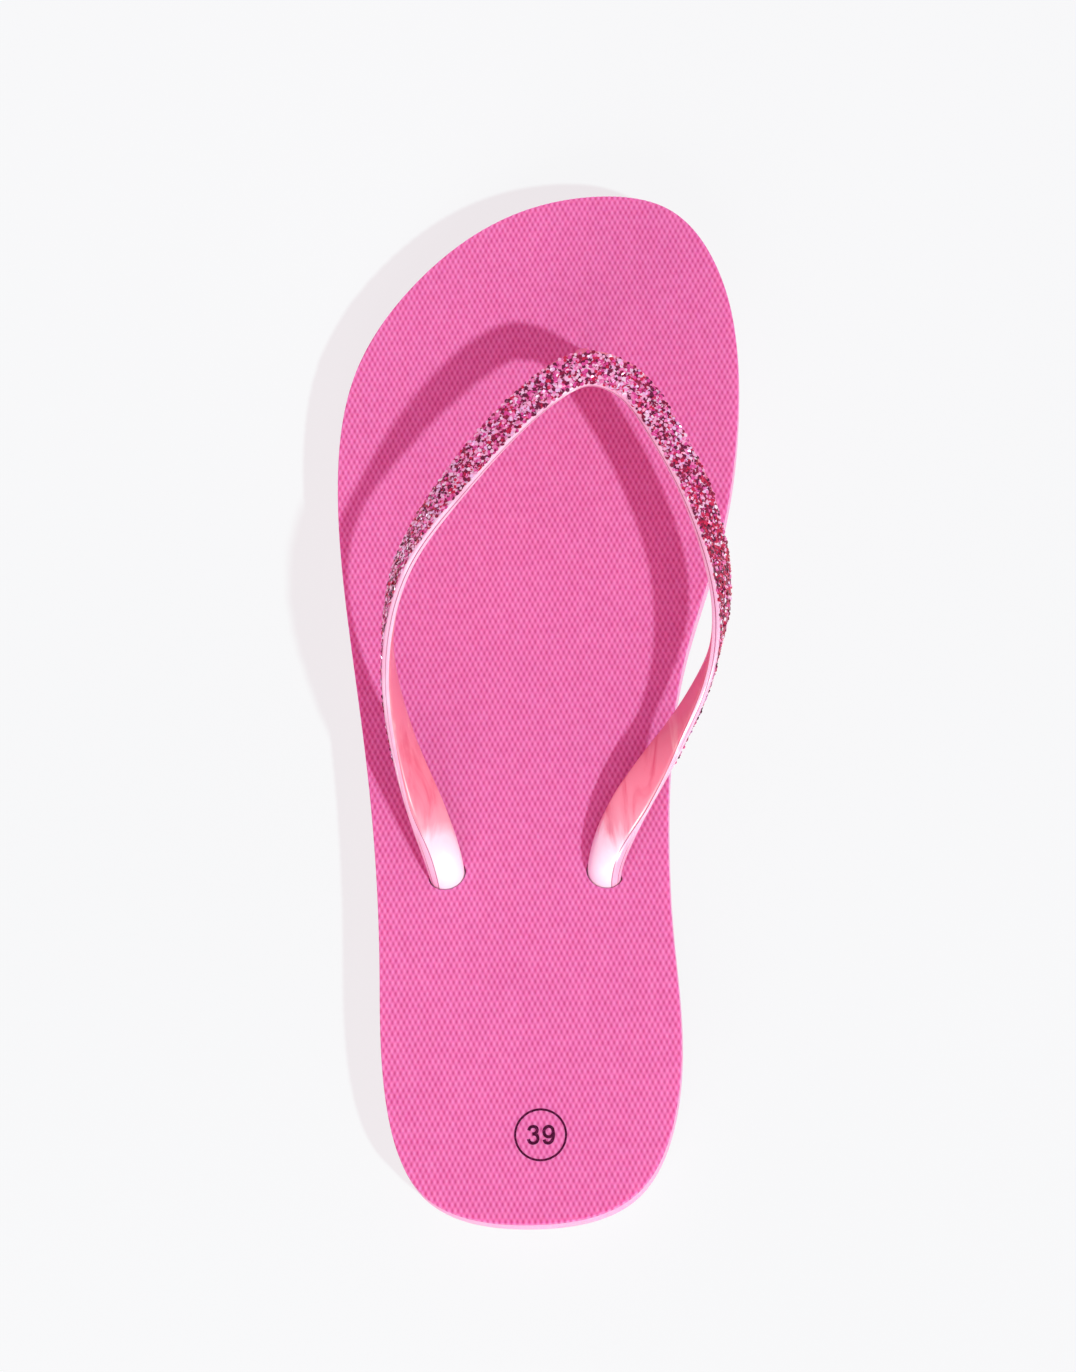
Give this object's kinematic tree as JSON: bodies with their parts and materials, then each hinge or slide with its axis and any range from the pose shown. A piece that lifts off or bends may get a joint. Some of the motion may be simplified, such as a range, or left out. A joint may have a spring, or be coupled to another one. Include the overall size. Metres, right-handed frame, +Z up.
{
  "type": "flip flop",
  "caption": "Left thong sandal: two-layer foam sole with an embossed footbed, and a twisted Y strap with a glitter inlay, held by plugs under the sole.",
  "frame": {"origin": "middle of the bounding box in plan, on the ground under the sole", "axes": "+Z up; the toes point towards -Y; the big-toe side is -X (a left shoe)"},
  "size_m": [0.1002, 0.26, 0.0429],
  "materials": {
    "hot_pink_foam": "matte closed-cell foam with a fine embossed diamond grip",
    "pale_pink_foam": "matte closed-cell foam, cut edge with fine pores",
    "pearl_pvc": "pearly, slightly translucent moulded PVC",
    "glitter": "coarse metallic glitter flakes in burgundy, pink and silver"
  },
  "bodies": {
    "root": {"footbed": "hot_pink_foam", "sole_base": "pale_pink_foam", "strap": "pearl_pvc", "glitter_inlay": "glitter", "toe_plug": "pearl_pvc", "rear_outer_plug": "pearl_pvc", "rear_inner_plug": "pearl_pvc"}
  },
  "joints": []
}
